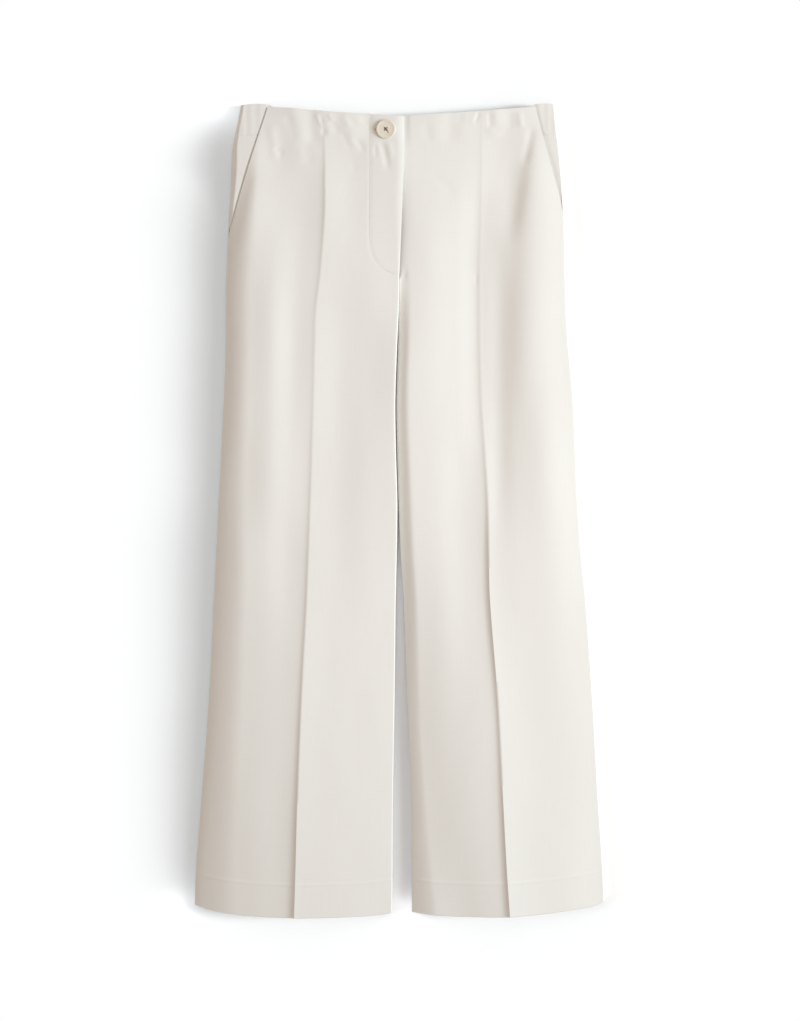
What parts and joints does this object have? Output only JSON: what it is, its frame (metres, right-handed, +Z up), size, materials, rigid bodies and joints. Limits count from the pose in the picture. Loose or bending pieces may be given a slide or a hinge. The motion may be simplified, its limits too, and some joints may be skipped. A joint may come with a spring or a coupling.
{
  "type": "culottes",
  "caption": "Wide cropped culottes laid flat on their back: off-white woven cloth, pressed front creases, buttoned zip fly, slant pockets and an elastic back waist",
  "frame": {"origin": "On the surface the culottes lie on, under the middle of their overall box", "axes": "+Z up from the surface, out of the front of the garment; +Y from the hems to the waist; +X from the wearer's right leg to the left leg"},
  "size_m": [0.4759, 0.9422, 0.026],
  "materials": {
    "cloth": "matte plain-woven linen and viscose, off-white",
    "zip": "woven zip tape with small plastic teeth",
    "button": "semi-matt, pale beige"
  },
  "bodies": {
    "root": {"front_right": "cloth", "front_left": "cloth", "back_right": "cloth", "back_left": "cloth", "waistband_back": "cloth", "pocket_right": "cloth", "pocket_left": "cloth", "fly_shield": "cloth", "zip": "zip", "button": "button"}
  },
  "joints": []
}
